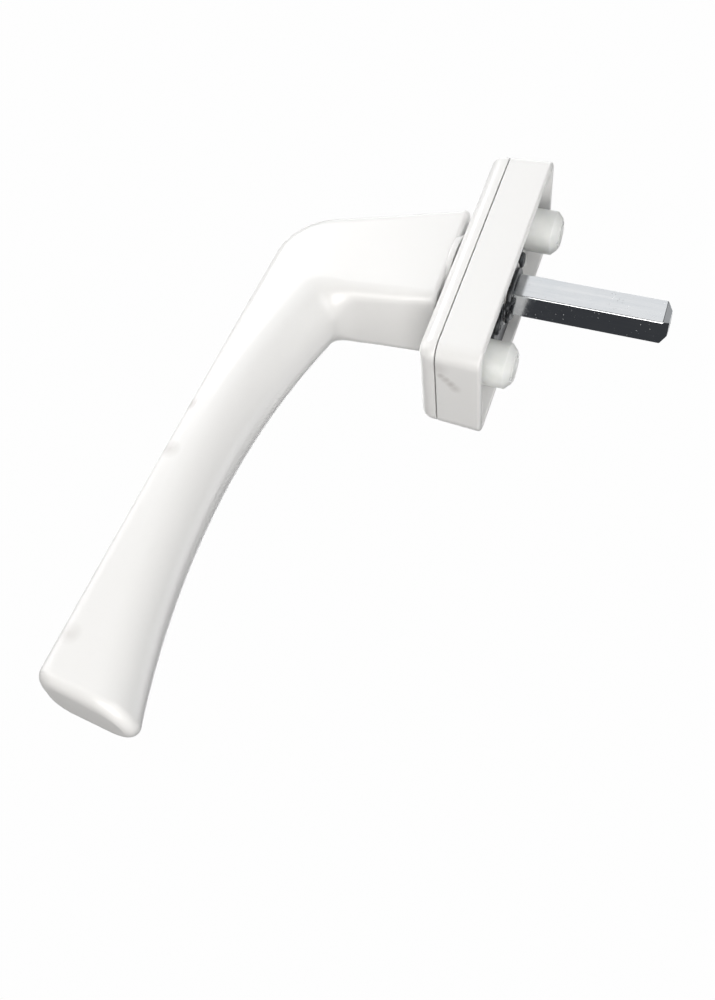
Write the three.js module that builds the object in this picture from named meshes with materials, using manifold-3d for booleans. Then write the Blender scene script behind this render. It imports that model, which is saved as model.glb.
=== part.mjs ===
// Tilt turn handle for a window or balcony door, in millimetres.
// Frame: +Z up, +Y along the square spindle into the sash, -Y towards the room.
// The origin is the centre of the rose's back plane, on the spindle axis.
// The lever hangs straight down, which is the closed position.

import * as THREE from 'three';
import { mergeVertices } from 'three/addons/utils/BufferGeometryUtils.js';
import Module from 'manifold-3d';

const wasm = await Module();
wasm.setup();

// Rose: a deep base with a shallow cover plate in front of it.
const ROSE_WIDTH = 27.4;
const ROSE_HEIGHT = 66;
const ROSE_CORNER = 4;
const BASE_DEPTH = 10.2;
const BASE_DRAFT = 0.5;
const BASE_WALL = 1.9;
const WEB_BACK = 7.0;
const COVER_WIDTH = 26.2;
const COVER_HEIGHT = 64.8;
const COVER_BACK = 10.5;
const COVER_FRONT = 14.5;
const COVER_ROUND = 3.0;
const COVER_WALL = 1.6;

// Fixing points: the standard 43 mm spacing, one nylon sleeve in each.
const FIXING_SPACING = 43;
const SLEEVE_RADIUS = 5.25;
const SLEEVE_STUB = 3.8;
const SLEEVE_BORE = 2.65;
const SLEEVE_PROUD = 5.1;
const SLEEVE_CHAMFER = 1.4;
const BOSS_RADIUS = 6.3;
const BOSS_BACK = 3.0;

// Spindle: 7 mm square bar through the lever's socket.
const SPINDLE_SIZE = 7;
const SPINDLE_PROUD = 35.4;
const SPINDLE_INNER = 34;
const SPINDLE_TIP = 1.4;
const SPINDLE_EDGE = 0.25;
const SOCKET_SIZE = 7.2;

// Turning parts on the spindle axis.
const COLLAR_RADIUS = 9.4;
const COLLAR_BACK = 11.6;
const JOURNAL_RADIUS = 7.4;
const JOURNAL_BACK = 6.7;
const BUSH_BORE = 7.5;
const BUSH_RADIUS = 9.6;
const BUSH_FLANGE = 11.2;
const CAM_SIZE = 13;
const CAM_CORNER_RADIUS = 8.4;
const PLATE_RADIUS = 13;
const PLATE_HALF_WIDTH = 11.2;
const PLATE_SCREW_Z = 10.9;
const PIN_RADIUS = 1.2;
const PIN_DEPTH = 8.9;

// Lever neck: a soft-edged box that slopes down to the elbow.
const NECK_END = 15.5;
const NECK_TOP = 14.9;
const NECK_TOP_SLOPE = 0.3;
const NECK_BOTTOM = -15.2;
const NECK_BOTTOM_SLOPE = 0.12;
const NECK_HALF_WIDTH = 10.5;
const NECK_EDGE = 1.2;
const FOOT_RADIUS = 11.2;
const FOOT_BACK = 14.8;

// Lever grip: a flat front that leans out a little, waisted behind, flared at its tip.
const GRIP_FRONT = 57.4;
const GRIP_FRONT_Z = -12;
const GRIP_LEAN = 0.0455;
const GRIP_END_Z = -126.6;
const TIP_SKEW = 2.6;
const GRIP_NECK_THICKNESS = 18.4;
const GRIP_WAIST_THICKNESS = 13;
const GRIP_TIP_THICKNESS = 22.1;
const GRIP_BACK_Z = -24;
const GRIP_WAIST_Z = -66;
const GRIP_HALF_WIDTH = 10;
const TIP_HALF_WIDTH = 8.6;
const TIP_LENGTH = 2.8;
const TIP_WIDTH_ROUND = 5.0;
const TIP_FRONT_ROUND = 1.6;
const TIP_BACK_ROUND = 3.4;
const TIP_SQUARENESS = 2.8;
const FRONT_EDGE = 4.2;
const BACK_EDGE = 8.6;
const ELBOW_RADIUS = 15.5;
const CROOK_RADIUS = 6.5;

// ---- small tools ----------------------------------------------------------

const v2 = (x, y) => new THREE.Vector2(x, y);
const v3 = (x, y, z) => new THREE.Vector3(x, y, z);
const lerp = THREE.MathUtils.lerp;
const smooth = (u) => THREE.MathUtils.smoothstep(u, 0, 1);

// Outline of a rectangle with its own corner radius at the +y and the -y side.
function roundedRect(halfWidth, halfHeight, topRadius, bottomRadius, steps) {
  const corners = [
    [1, 1, topRadius, 0],
    [-1, 1, topRadius, 90],
    [-1, -1, bottomRadius, 180],
    [1, -1, bottomRadius, 270],
  ];
  const points = [];
  for (const [sx, sy, radius, start] of corners) {
    for (let i = 0; i <= steps; i += 1) {
      const angle = THREE.MathUtils.degToRad(start + (90 * i) / steps);
      const x = sx * (halfWidth - radius) + radius * Math.cos(angle);
      const y = sy * (halfHeight - radius) + radius * Math.sin(angle);
      points.push(v2(x, y));
    }
  }
  return points;
}

// Closed skin over rings that all have the same number of points.
function loft(rings) {
  const count = rings[0].length;
  const positions = [];
  const index = [];
  rings.forEach((ring) => ring.forEach((p) => positions.push(p.x, p.y, p.z)));
  for (let i = 0; i + 1 < rings.length; i += 1) {
    for (let j = 0; j < count; j += 1) {
      const a = i * count + j;
      const b = i * count + ((j + 1) % count);
      index.push(a, b, a + count, b, b + count, a + count);
    }
  }
  const closeEnd = (ringIndex, flip) => {
    const centre = v3(0, 0, 0);
    rings[ringIndex].forEach((p) => centre.add(p));
    centre.divideScalar(count);
    const c = positions.length / 3;
    positions.push(centre.x, centre.y, centre.z);
    for (let j = 0; j < count; j += 1) {
      const a = ringIndex * count + j;
      const b = ringIndex * count + ((j + 1) % count);
      if (flip) index.push(a, b, c);
      else index.push(b, a, c);
    }
  };
  closeEnd(0, false);
  closeEnd(rings.length - 1, true);
  const geometry = new THREE.BufferGeometry();
  geometry.setAttribute('position', new THREE.Float32BufferAttribute(positions, 3));
  geometry.setIndex(index);
  return facingOut(geometry);
}

// Turns a closed skin the right way round.
function facingOut(geometry) {
  const p = geometry.attributes.position;
  const index = geometry.index.array;
  const [a, b, c] = [v3(), v3(), v3()];
  let volume = 0;
  for (let i = 0; i < index.length; i += 3) {
    a.fromBufferAttribute(p, index[i]);
    b.fromBufferAttribute(p, index[i + 1]);
    c.fromBufferAttribute(p, index[i + 2]);
    volume += a.dot(b.cross(c));
  }
  if (volume < 0) geometry.setIndex(Array.from(index).reverse());
  return geometry;
}

// Outline in the XZ plane, drawn at depth y.
const ringAt = (outline, y) => outline.map((p) => v3(p.x, y, p.y));

// Ring of revolution round the spindle axis from [radius, y] pairs.
function turned(pairs, segments = 48) {
  const profile = pairs.map(([radius, y]) => v2(radius, y));
  if (pairs[0][0] > 0) profile.push(profile[0].clone());
  return facingOut(merged(new THREE.LatheGeometry(profile, segments)));
}

const disc = (radius, y0, y1, segments) => turned([[0, y0], [radius, y0], [radius, y1], [0, y1]], segments);

function tube(inner, outer, y0, y1, segments) {
  return turned([[inner, y0], [outer, y0], [outer, y1], [inner, y1]], segments);
}

function box(width, depth, height, x, y, z) {
  return new THREE.BoxGeometry(width, depth, height).translate(x, y, z);
}

function merged(geometry) {
  const bare = geometry.clone();
  bare.deleteAttribute('normal');
  bare.deleteAttribute('uv');
  return mergeVertices(bare, 1e-4);
}

function toSolid(geometry) {
  const bare = facingOut(merged(geometry));
  const vertProperties = new Float32Array(bare.attributes.position.array);
  const triVerts = new Uint32Array(bare.index.array);
  return new wasm.Manifold(new wasm.Mesh({ numProp: 3, vertProperties, triVerts }));
}

function toGeometry(solid) {
  const mesh = solid.getMesh();
  const geometry = new THREE.BufferGeometry();
  geometry.setAttribute('position', new THREE.Float32BufferAttribute(mesh.vertProperties, 3));
  geometry.setIndex(Array.from(mesh.triVerts));
  return geometry;
}

// Joins the first list, then cuts the second list out of it.
function carve(joined, cuts = []) {
  let solid = toSolid(joined[0]);
  joined.slice(1).forEach((g) => {
    solid = solid.add(toSolid(g));
  });
  cuts.forEach((g) => {
    solid = solid.subtract(toSolid(g));
  });
  return toGeometry(solid);
}

// ---- materials ------------------------------------------------------------

const paint = (color, roughness, metalness) => new THREE.MeshStandardMaterial({ color, roughness, metalness });
const WHITE_PAINT = paint(0xf1f1ee, 0.32, 0.0);
const ZINC = paint(0xc3c9cc, 0.28, 1.0);
const DARK_STEEL = paint(0x4a5055, 0.42, 1.0);
const SPRING_STEEL = paint(0x8d9296, 0.3, 1.0);
const WHITE_NYLON = paint(0xe9ebe6, 0.45, 0.0);
const BEARING_PLASTIC = paint(0xd8d9d4, 0.5, 0.0);

// ---- lever ----------------------------------------------------------------

// Straight, arc, straight: the side profile in (y, z) round one corner.
function bend(from, corner, to, radius) {
  const inDirection = corner.clone().sub(from).normalize();
  const outDirection = to.clone().sub(corner).normalize();
  const turn = Math.acos(inDirection.dot(outDirection));
  const reach = radius * Math.tan(turn / 2);
  const start = corner.clone().addScaledVector(inDirection, -reach);
  const end = corner.clone().addScaledVector(outDirection, reach);
  const side = Math.sign(inDirection.cross(outDirection));
  const normal = v2(-inDirection.y, inDirection.x).multiplyScalar(side);
  const centre = start.clone().addScaledVector(normal, radius);
  const arc = (u) => start.clone().rotateAround(centre, side * turn * u);
  return { start, end, arc };
}

const gripFrontAt = (z) => v2(-GRIP_FRONT + (z - GRIP_FRONT_Z) * GRIP_LEAN, z);

function gripThickness(z) {
  const above = Math.max(0, (z - GRIP_WAIST_Z) / (GRIP_BACK_Z - GRIP_WAIST_Z));
  const below = Math.max(0, (z - GRIP_WAIST_Z) / (GRIP_END_Z - GRIP_WAIST_Z));
  const gainAbove = (GRIP_NECK_THICKNESS - GRIP_WAIST_THICKNESS) * above ** 2;
  const gainBelow = (GRIP_TIP_THICKNESS - GRIP_WAIST_THICKNESS) * below ** 2;
  return GRIP_WAIST_THICKNESS + gainAbove + gainBelow;
}

const gripBackAt = (z) => gripFrontAt(z).add(v2(gripThickness(z), 0));

function outerProfile() {
  const from = v2(-NECK_END, NECK_TOP);
  const slope = v2(-1, -NECK_TOP_SLOPE);
  const reach = (GRIP_FRONT - NECK_END - 0.5) / (1 - NECK_TOP_SLOPE * GRIP_LEAN);
  const corner = from.clone().addScaledVector(slope, reach);
  corner.x = gripFrontAt(corner.y).x;
  return { from, ...bend(from, corner, gripFrontAt(GRIP_END_Z), ELBOW_RADIUS) };
}

function innerProfile() {
  const from = v2(-NECK_END, NECK_BOTTOM);
  const back = gripBackAt(GRIP_BACK_Z);
  const below = gripBackAt(GRIP_BACK_Z - 4);
  const lean = (back.x - below.x) / (back.y - below.y);
  const run = (from.x - back.x - (from.y - back.y) * lean) / (1 - NECK_BOTTOM_SLOPE * lean);
  const corner = from.clone().addScaledVector(v2(-1, -NECK_BOTTOM_SLOPE), run);
  return { from, ...bend(from, corner, below, CROOK_RADIUS) };
}

// One cross-section between an outer and an inner point of the side profile.
function leverSection(outer, inner, halfWidth, outerRadius, innerRadius, inset = 0) {
  const centre = outer.clone().add(inner).multiplyScalar(0.5);
  const up = outer.clone().sub(inner);
  const halfHeight = up.length() / 2 - inset;
  up.normalize();
  const front = Math.max(0.4, Math.min(outerRadius - inset, halfWidth - 0.1));
  const back = Math.max(0.4, Math.min(innerRadius - inset, halfWidth - 0.1, 2 * halfHeight - front - 0.1));
  const outline = roundedRect(halfWidth, halfHeight, front, back, 6);
  return outline.map((p) => v3(p.x, centre.x + up.x * p.y, centre.y + up.y * p.y));
}

function leverRings() {
  const outer = outerProfile();
  const inner = innerProfile();
  const rings = [];
  const neckRadius = 2.8;
  for (let i = 0; i <= 3; i += 1) {
    const angle = (i / 3) * (Math.PI / 2);
    const inset = NECK_EDGE * (1 - Math.sin(angle));
    const back = v2(-NECK_EDGE * (1 - Math.cos(angle)), 0);
    const o = outer.from.clone().add(back);
    const n = inner.from.clone().add(back);
    rings.push(leverSection(o, n, NECK_HALF_WIDTH - inset, neckRadius, neckRadius, inset));
  }
  for (let i = 1; i <= 5; i += 1) {
    const u = i / 5;
    const o = outer.from.clone().lerp(outer.start, u);
    const n = inner.from.clone().lerp(inner.start, u);
    const width = lerp(NECK_HALF_WIDTH, GRIP_HALF_WIDTH, smooth(u));
    rings.push(leverSection(o, n, width, lerp(neckRadius, 3.6, u), lerp(neckRadius, 3.6, u)));
  }
  for (let i = 1; i <= 9; i += 1) {
    const u = i / 9;
    const front = lerp(3.6, FRONT_EDGE, u);
    const back = lerp(3.6, BACK_EDGE, smooth(u));
    rings.push(leverSection(outer.arc(u), inner.arc(u), GRIP_HALF_WIDTH, front, back));
  }
  const gripEnd = GRIP_END_Z + TIP_LENGTH;
  for (let i = 1; i <= 15; i += 1) {
    const u = i / 15;
    const o = gripFrontAt(lerp(outer.end.y, gripEnd + TIP_SKEW, u));
    const n = gripBackAt(lerp(inner.end.y, gripEnd, u));
    rings.push(leverSection(o, n, lerp(GRIP_HALF_WIDTH, TIP_HALF_WIDTH, u * u), FRONT_EDGE, BACK_EDGE));
  }
  for (let i = 1; i <= 8; i += 1) {
    const angle = (i / 8) * (Math.PI / 2);
    const down = Math.sin(angle) ** (2 / TIP_SQUARENESS);
    const z = gripEnd - TIP_LENGTH * down;
    const drawnIn = 1 - Math.cos(angle) ** (2 / TIP_SQUARENESS);
    const width = TIP_HALF_WIDTH - TIP_WIDTH_ROUND * drawnIn;
    const rounded = 1 - Math.sqrt(Math.max(0, 1 - down ** 2));
    const o = gripFrontAt(z + TIP_SKEW).add(v2(TIP_FRONT_ROUND * rounded, 0));
    const n = gripBackAt(z).sub(v2(TIP_BACK_ROUND * rounded, 0));
    rings.push(leverSection(o, n, width, FRONT_EDGE, BACK_EDGE));
  }
  return rings;
}

function leverHandle() {
  const body = loft(leverRings());
  const foot = disc(FOOT_RADIUS, -NECK_END - 0.6, -FOOT_BACK);
  const collar = disc(COLLAR_RADIUS, -NECK_END - 3, -COLLAR_BACK);
  const journal = disc(JOURNAL_RADIUS, -COLLAR_BACK - 3, -JOURNAL_BACK);
  const socketEnd = SPINDLE_INNER + 0.5;
  const socketMiddle = -(socketEnd + JOURNAL_BACK - 1) / 2;
  const socket = box(SOCKET_SIZE, socketEnd - JOURNAL_BACK + 1, SOCKET_SIZE, 0, socketMiddle, 0);
  const pinHole = new THREE.CylinderGeometry(PIN_RADIUS + 0.1, PIN_RADIUS + 0.1, 24, 24);
  pinHole.rotateZ(Math.PI / 2).translate(0, -PIN_DEPTH, 0);
  return carve([body, foot, collar, journal], [socket, pinHole]);
}

// ---- spindle and the pieces on it -----------------------------------------

function spindle() {
  const half = SPINDLE_SIZE / 2;
  const square = (inset) => {
    const h = half - inset;
    const e = SPINDLE_EDGE;
    const corners = [[h, h - e], [h - e, h], [e - h, h], [-h, h - e], [-h, e - h], [e - h, -h], [h - e, -h], [h, e - h]];
    return corners.map(([x, z]) => v2(x, z));
  };
  const bar = loft([
    ringAt(square(0.5), -SPINDLE_INNER),
    ringAt(square(0), -SPINDLE_INNER + 0.5),
    ringAt(square(0), SPINDLE_PROUD - SPINDLE_TIP),
    ringAt(square(SPINDLE_TIP), SPINDLE_PROUD),
  ]);
  const pinHole = new THREE.CylinderGeometry(PIN_RADIUS + 0.1, PIN_RADIUS + 0.1, 12, 24);
  pinHole.rotateZ(Math.PI / 2).translate(0, -PIN_DEPTH, 0);
  const clipGroove = tube(4.35, 6, -1.25, -0.35);
  return carve([bar], [pinHole, clipGroove]);
}

// Slotted spring pin across the journal.
function spindlePin() {
  const length = 2 * JOURNAL_RADIUS - 0.8;
  const shape = new THREE.Shape();
  const gap = 0.35;
  shape.absarc(0, 0, PIN_RADIUS, gap, 2 * Math.PI - gap, false);
  shape.absarc(0, 0, PIN_RADIUS - 0.45, 2 * Math.PI - gap, gap, true);
  const bar = new THREE.ExtrudeGeometry(shape, { depth: length, bevelEnabled: false, curveSegments: 20 });
  return bar.rotateY(Math.PI / 2).translate(-length / 2, -PIN_DEPTH, 0);
}

// Square cam with turned-down corners; its flats rest on the two leaf springs.
function detentCam() {
  const block = box(CAM_SIZE, 2.4, CAM_SIZE, 0, -5.1, 0);
  const round = disc(CAM_CORNER_RADIUS, -7, -3.5, 64);
  const trimmed = toSolid(block).intersect(toSolid(round));
  const hole = toSolid(box(SOCKET_SIZE, 6, SOCKET_SIZE, 0, -5.1, 0));
  return toGeometry(trimmed.subtract(hole));
}

// Ring whose flat section rises and falls three times round the axis.
function waveWasher() {
  const segments = 48;
  const rings = [];
  for (let i = 0; i < segments; i += 1) {
    const angle = (i / segments) * 2 * Math.PI;
    const lift = 0.1 * Math.cos(3 * angle);
    const at = (radius, y) => v3(radius * Math.cos(angle), y + lift, radius * Math.sin(angle));
    rings.push([at(5.3, -1.59), at(7.2, -1.59), at(7.2, -1.36), at(5.3, -1.36)]);
  }
  const positions = rings.flat().flatMap((p) => [p.x, p.y, p.z]);
  const index = [];
  for (let i = 0; i < segments; i += 1) {
    for (let j = 0; j < 4; j += 1) {
      const a = i * 4 + j;
      const b = i * 4 + ((j + 1) % 4);
      const c = ((i + 1) % segments) * 4 + j;
      const d = ((i + 1) % segments) * 4 + ((j + 1) % 4);
      index.push(a, b, c, b, d, c);
    }
  }
  const geometry = new THREE.BufferGeometry();
  geometry.setAttribute('position', new THREE.Float32BufferAttribute(positions, 3));
  geometry.setIndex(index);
  return facingOut(geometry);
}

// External retaining ring with two drilled ears at its gap.
function spindleCirclip() {
  const ring = tube(4.45, 6.2, -1.15, -0.45);
  const gap = box(2.2, 3, 5, 0, -0.8, -6);
  const ear = (side) => disc(1.15, -1.15, -0.45, 20).translate(side * 1.95, 0, -6.2);
  const earHole = (side) => disc(0.5, -2, 0.5, 16).translate(side * 1.95, 0, -6.2);
  return carve([ring, ear(1), ear(-1)], [gap, earHole(1), earHole(-1)]);
}

// ---- rose -----------------------------------------------------------------

function baseHousing() {
  const outline = (inset) => {
    const radius = ROSE_CORNER - inset;
    return roundedRect(ROSE_WIDTH / 2 - inset, ROSE_HEIGHT / 2 - inset, radius, radius, 6);
  };
  const shell = loft([
    ringAt(outline(0.25), 0),
    ringAt(outline(0), -0.25),
    ringAt(outline(BASE_DRAFT), -BASE_DEPTH + 0.3),
    ringAt(outline(BASE_DRAFT + 0.3), -BASE_DEPTH),
  ]);
  const pocketOutline = outline(BASE_WALL);
  const pocket = loft([ringAt(pocketOutline, -WEB_BACK), ringAt(pocketOutline, 1)]);
  const hollow = carve([shell], [pocket]);
  const added = [hollow];
  const cuts = [disc(BUSH_RADIUS + 0.1, -BASE_DEPTH - 1, -WEB_BACK + 1)];
  for (const side of [1, -1]) {
    const z = (side * FIXING_SPACING) / 2;
    added.push(disc(BOSS_RADIUS, -WEB_BACK - 1, -BOSS_BACK).translate(0, 0, z));
    added.push(box(ROSE_WIDTH - 2.5, WEB_BACK - 2.5, 1.2, 0, -(WEB_BACK + 3.3) / 2, z));
    added.push(box(1.2, WEB_BACK - 2.5, 9, 0, -(WEB_BACK + 3.3) / 2, side * (ROSE_HEIGHT / 2 - 5.5)));
    added.push(disc(2.1, -WEB_BACK - 1, -3.5, 24).translate(0, 0, side * PLATE_SCREW_Z));
    for (const spring of [1, -1]) {
      added.push(box(4.2, 4.1, 3.4, spring * 7.2, -5.75, side * 13.7));
      cuts.push(box(1.1, 4.2, 2.4, spring * 6.95, -4.7, side * 13.0));
    }
    cuts.push(disc(SLEEVE_STUB + 0.1, -7.5, 0).translate(0, 0, z));
    cuts.push(disc(2.75, -BASE_DEPTH - 1, -5).translate(0, 0, z));
    cuts.push(disc(4.9, -BASE_DEPTH - 1, -8.8).translate(0, 0, z));
    cuts.push(disc(1.3, -WEB_BACK + 0.5, -3, 20).translate(0, 0, side * PLATE_SCREW_Z));
  }
  return carve(added, cuts);
}

function coverPlate() {
  const outline = (inset, corner = ROSE_CORNER - 0.5) => {
    const radius = Math.max(0.8, corner - inset);
    return roundedRect(COVER_WIDTH / 2 - inset, COVER_HEIGHT / 2 - inset, radius, radius, 6);
  };
  const rings = [ringAt(outline(0.2), -COVER_BACK), ringAt(outline(0), -COVER_BACK - 0.2)];
  for (let i = 0; i <= 6; i += 1) {
    const angle = (i / 6) * (Math.PI / 2);
    const y = -COVER_FRONT + COVER_ROUND * (1 - Math.sin(angle));
    rings.push(ringAt(outline(COVER_ROUND * (1 - Math.cos(angle))), y));
  }
  const inner = outline(COVER_WALL);
  const innerFront = -COVER_FRONT + COVER_WALL;
  const cavity = loft([
    ringAt(inner, -COVER_BACK + 1),
    ringAt(inner, innerFront + 0.25),
    ringAt(outline(COVER_WALL + 0.25), innerFront),
  ]);
  const hole = disc(COLLAR_RADIUS + 0.3, -COVER_FRONT - 1, -COVER_BACK);
  const shell = carve([loft(rings)], [cavity]);
  const ribs = [1, -1].map((side) => box(1.2, 1.3, 16, 0, innerFront + 0.45, side * 22.5));
  return carve([shell, ...ribs], [hole]);
}

// Flanged plastic bearing between the journal and the base.
function collarBush() {
  return turned([
    [BUSH_BORE, -11.1],
    [BUSH_FLANGE, -11.1],
    [BUSH_FLANGE, -10.25],
    [BUSH_RADIUS, -10.25],
    [BUSH_RADIUS, -WEB_BACK],
    [BUSH_BORE, -WEB_BACK],
  ]);
}

const coverGuideRing = () => tube(COLLAR_RADIUS + 0.2, 11.0, -12.8, -11.2);

const collarWasher = () => tube(JOURNAL_RADIUS + 0.2, COLLAR_RADIUS - 0.1, -11.5, -11.2);

// Leaf spring: a flat strip whose ends sit in the base's slotted blocks.
const detentSpring = (side) => box(0.7, 2.8, 26.2, side * 6.95, -5.1, 0);

const thrustWasher = () => tube(5.2, 6.4, -3.8, -3.5);

function retainingPlate() {
  const round = disc(PLATE_RADIUS, -3.4, -2.2, 64);
  const trimmed = toSolid(round).intersect(toSolid(box(2 * PLATE_HALF_WIDTH, 4, 40, 0, -2.8, 0)));
  const holes = [disc(5.3, -4, -1)];
  holes.push(disc(1.4, -4, -1, 24).translate(0, 0, PLATE_SCREW_Z));
  holes.push(disc(1.4, -4, -1, 24).translate(0, 0, -PLATE_SCREW_Z));
  return carve([toGeometry(trimmed)], holes);
}

// Small pan-head screw with a cross recess.
function plateScrew(side) {
  const body = turned([
    [0, -6.2],
    [0.6, -6.2],
    [1.05, -5.7],
    [1.05, -2.15],
    [1.95, -2.15],
    [1.95, -1.7],
    [1.5, -1.3],
    [0, -1.2],
  ], 24);
  const slots = [box(2.1, 0.8, 0.45, 0, -1.25, 0), box(0.45, 0.8, 2.1, 0, -1.25, 0)];
  return carve([body], slots).translate(0, 0, side * PLATE_SCREW_Z);
}

const clipWasher = () => tube(5.1, 7.5, -2.1, -1.75);

// Nylon sleeve: a stub in the base's boss and a chamfered peg behind the rose.
function fixingSleeve(side) {
  const face = SLEEVE_PROUD - 0.3;
  return turned([
    [SLEEVE_BORE, -7.3],
    [SLEEVE_STUB, -7.3],
    [SLEEVE_STUB, -2.9],
    [SLEEVE_RADIUS, -2.9],
    [SLEEVE_RADIUS, face - SLEEVE_CHAMFER],
    [SLEEVE_RADIUS - SLEEVE_CHAMFER, face],
    [3.35, face],
    [3.35, SLEEVE_PROUD],
    [SLEEVE_BORE, SLEEVE_PROUD],
  ], 40).translate(0, 0, (side * FIXING_SPACING) / 2);
}

// ---- assembly -------------------------------------------------------------

const part = (name, geometry, material) => {
  const mesh = new THREE.Mesh(geometry, material);
  mesh.name = name;
  return mesh;
};

const rose = new THREE.Group();
rose.add(part('base_housing', baseHousing(), WHITE_PAINT));
rose.add(part('collar_bush', collarBush(), BEARING_PLASTIC));
rose.add(part('detent_spring_near', detentSpring(1), SPRING_STEEL));
rose.add(part('detent_spring_far', detentSpring(-1), SPRING_STEEL));
rose.add(part('retaining_plate', retainingPlate(), DARK_STEEL));
rose.add(part('plate_screw_upper', plateScrew(1), DARK_STEEL));
rose.add(part('plate_screw_lower', plateScrew(-1), DARK_STEEL));
rose.add(part('upper_fixing_sleeve', fixingSleeve(1), WHITE_NYLON));
rose.add(part('lower_fixing_sleeve', fixingSleeve(-1), WHITE_NYLON));

const cover = new THREE.Group();
cover.add(part('cover_plate', coverPlate(), WHITE_PAINT));
cover.add(part('cover_guide_ring', coverGuideRing(), BEARING_PLASTIC));

const lever = new THREE.Group();
lever.add(part('lever_handle', leverHandle(), WHITE_PAINT));
lever.add(part('spindle', spindle(), ZINC));
lever.add(part('spindle_pin', spindlePin(), SPRING_STEEL));
lever.add(part('detent_cam', detentCam(), DARK_STEEL));
lever.add(part('collar_washer', collarWasher(), BEARING_PLASTIC));
lever.add(part('thrust_washer', thrustWasher(), BEARING_PLASTIC));
lever.add(part('clip_washer', clipWasher(), ZINC));
lever.add(part('wave_washer', waveWasher(), SPRING_STEEL));
lever.add(part('spindle_circlip', spindleCirclip(), DARK_STEEL));

const handle = new THREE.Group();
handle.add(rose, cover, lever);
export default handle;
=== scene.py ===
"""Tilt turn window handle: the detailed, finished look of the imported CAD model."""

import math

import bmesh
import bpy
from mathutils import Matrix, Vector


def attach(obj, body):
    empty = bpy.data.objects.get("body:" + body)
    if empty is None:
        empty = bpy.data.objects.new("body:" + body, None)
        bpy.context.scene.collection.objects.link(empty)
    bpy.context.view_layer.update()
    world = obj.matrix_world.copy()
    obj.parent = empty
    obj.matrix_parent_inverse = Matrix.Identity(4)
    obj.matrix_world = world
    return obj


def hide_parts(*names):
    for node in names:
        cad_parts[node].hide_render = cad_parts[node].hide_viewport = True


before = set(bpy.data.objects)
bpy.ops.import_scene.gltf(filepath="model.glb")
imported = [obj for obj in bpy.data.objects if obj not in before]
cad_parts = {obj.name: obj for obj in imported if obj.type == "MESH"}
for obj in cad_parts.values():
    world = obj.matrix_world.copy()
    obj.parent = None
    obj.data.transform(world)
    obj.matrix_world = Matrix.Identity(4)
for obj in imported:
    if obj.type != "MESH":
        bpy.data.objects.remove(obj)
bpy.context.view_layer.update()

MM = 0.001

# ---- sizes in millimetres ---------------------------------------------------
# +X is the side that the photograph shows, +Y runs along the spindle into the
# sash, and +Z is up. Depths are y values, so they are negative towards the room.

# Rose: the base housing, and the cover plate in front of it.
ROSE_HALF = (13.7, 33.0)
ROSE_CORNER = 4.0
ROSE_CORNER_STEPS, ROSE_SIDE_STEPS = 10, 40
BASE_FRONT, BASE_SIDE_END, BASE_DRAFT = -10.2, -9.9, 0.5
RIM_ROUND, SEAM_ROUND, SEAM_ROUND_START, SEAM_INSET = 0.7, 0.15, -10.05, 0.65
WEB_BACK, WEB_HOLE_END = -7.0, -7.15
BASE_WALL, WEB_INSET, WEB_ROUND, RIM_INNER_ROUND = 1.9, 2.3, 0.4, 0.2
COVER_HALF = (13.1, 32.4)
COVER_CORNER, COVER_LEAST_CORNER = 3.5, 0.8
COVER_BACK, COVER_FRONT, COVER_INSIDE = -10.5, -14.5, -12.9
COVER_ROUND, COVER_BACK_ROUND = 3.0, 0.2
COVER_MOUTH, COVER_MOUTH_ROUND, COVER_HOLE_END = 10.05, 0.35, -13.05
COVER_INNER_WALL = ((1.85, -12.9), (1.68, -12.83), (1.6, -12.65), (1.6, -10.6), (1.5, -10.5))
HOLE_RADIUS, HOLE_CHAMFERED = 9.7, 9.85

# Fixing points, sleeves, and the plate that closes the detent.
FIXING_Z = 21.5
SLEEVE_BORE, SLEEVE_STUB, SLEEVE_RADIUS, SLEEVE_TIP = 2.65, 3.8, 5.25, 3.35
SLEEVE_FRONT, SLEEVE_SHOULDER, SLEEVE_FACE, SLEEVE_END = -7.3, -2.9, 4.8, 5.1
PLATE_RADIUS, PLATE_HALF_WIDTH, PLATE_HOLE = 13.0, 11.2, 5.3
PLATE_FRONT, PLATE_BACK = -3.4, -2.2
PLATE_SCREW_Z, PLATE_SCREW_HOLE = 10.9, 1.4
SCREW_SHANK, SCREW_HEAD, SCREW_TIP_Y, SCREW_SEAT = 1.05, 1.95, -6.2, -2.15
SPRING_X, SPRING_HALF_THICKNESS, SPRING_HALF_LENGTH = 6.95, 0.35, 13.1

# Spindle and the pieces on it.
BAR_HALF, BAR_EDGE, BAR_RINGS = 3.5, 0.28, 24
BAR_START, BAR_SQUARE_FROM, BAR_SQUARE_TO, BAR_END = -34.0, -33.3, 33.75, 35.4
SOCKET_SIZE, SOCKET_LENGTH, SOCKET_MIDDLE = 7.2, 28.8, -20.1
PIN_Y, PIN_RADIUS, PIN_INNER, PIN_HOLE, PIN_HALF_LENGTH = -8.9, 1.2, 0.75, 1.3, 7.0
CAM_HALF, CAM_RADIUS, CAM_HOLE_HALF = 6.5, 8.4, 3.6
CLIP_OUTER, CLIP_INNER = 6.2, 4.45
EAR_X, EAR_Z, EAR_RADIUS, EAR_HOLE = 1.95, -6.2, 1.15, 0.5

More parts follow.
